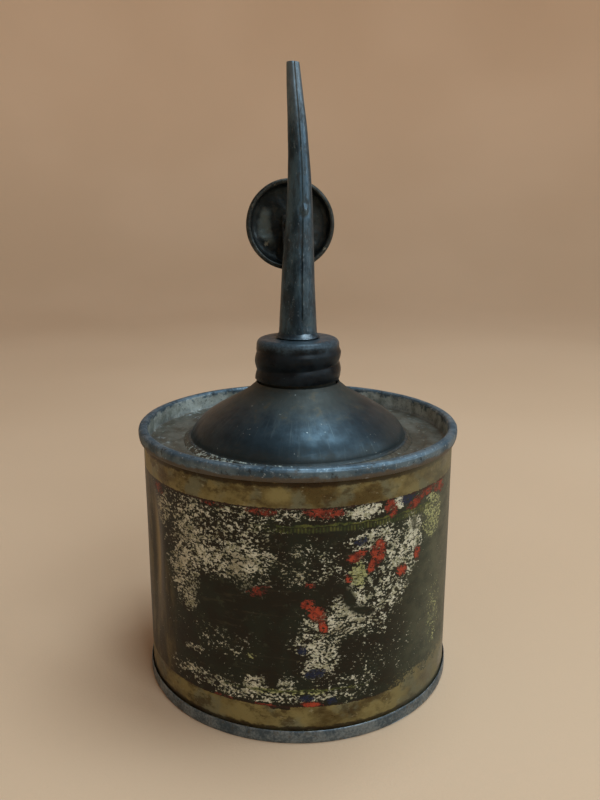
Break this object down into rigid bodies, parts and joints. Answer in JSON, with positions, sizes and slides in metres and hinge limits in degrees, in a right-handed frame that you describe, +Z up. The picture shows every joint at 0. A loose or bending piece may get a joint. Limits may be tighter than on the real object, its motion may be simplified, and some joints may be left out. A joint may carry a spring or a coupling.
{
  "type": "handy oiler can",
  "caption": "Round tinplate oil can with a domed top, a screw-on tapered spout and a thumb button behind it that opens an air vent.",
  "frame": {"origin": "centre of the base, on the surface that the can stands on", "axes": "+Z up along the can's axis, +Y towards the thumb button behind the spout, +X to the right seen from the front"},
  "size_m": [0.0684, 0.0684, 0.1288],
  "materials": {
    "printed_tin": "worn printed tinplate, cream, red and green on bare olive-brown metal",
    "seam_steel": "dull blue-grey worn tinplate with brown stains",
    "dome_steel": "satin blue-black steel, oily, faint scratches",
    "collar_steel": "near-black worn enamel with a satin sheen",
    "spout_steel": "blue-grey steel, bright where it is rubbed",
    "solder": "dull grey solder",
    "spring_steel": "oiled steel wire",
    "cork": "oil-stained compressed cork",
    "leather": "oil-soaked leather"
  },
  "bodies": {
    "can": {"can_body": "printed_tin", "top_end": "seam_steel", "bottom_end": "seam_steel", "dome": "dome_steel", "dome_solder": "solder", "screw_neck": "dome_steel"},
    "washer": {"sealing_washer": "cork"},
    "spout": {"spout_collar": "collar_steel", "spout_tube": "spout_steel", "spout_solder": "solder", "lever_bracket": "collar_steel", "lever_pin": "spring_steel", "vent_seat": "solder", "spring_seat": "spout_steel", "return_spring": "spring_steel"},
    "lever": {"thumb_lever": "collar_steel", "thumb_button": "collar_steel", "button_rivet": "spring_steel", "pad_holder": "spring_steel", "valve_pad": "leather"}
  },
  "joints": [
    {"name": "spout_lift", "type": "slide", "parent": "can", "child": "washer", "axis": [0, 0, 1], "range_m": [0, 0.0078]},
    {"name": "spout_turn", "type": "hinge", "parent": "washer", "child": "spout", "pos_m": [0, 0, 0.0687], "axis": [0, 0, 1], "range_deg": [0, 720]},
    {"name": "thumb_press", "type": "hinge", "parent": "spout", "child": "lever", "pos_m": [0, 0.00535, 0.0771], "axis": [1, 0, 0], "range_deg": [0, 9], "stiffness_Nm_per_rad": 0.12, "springref_deg": -2.86, "deforming": ["return_spring"]}
  ],
  "couplings": [
    {"joint": "spout_turn", "follows": "spout_lift", "rad_per_m": 1611.1}
  ]
}
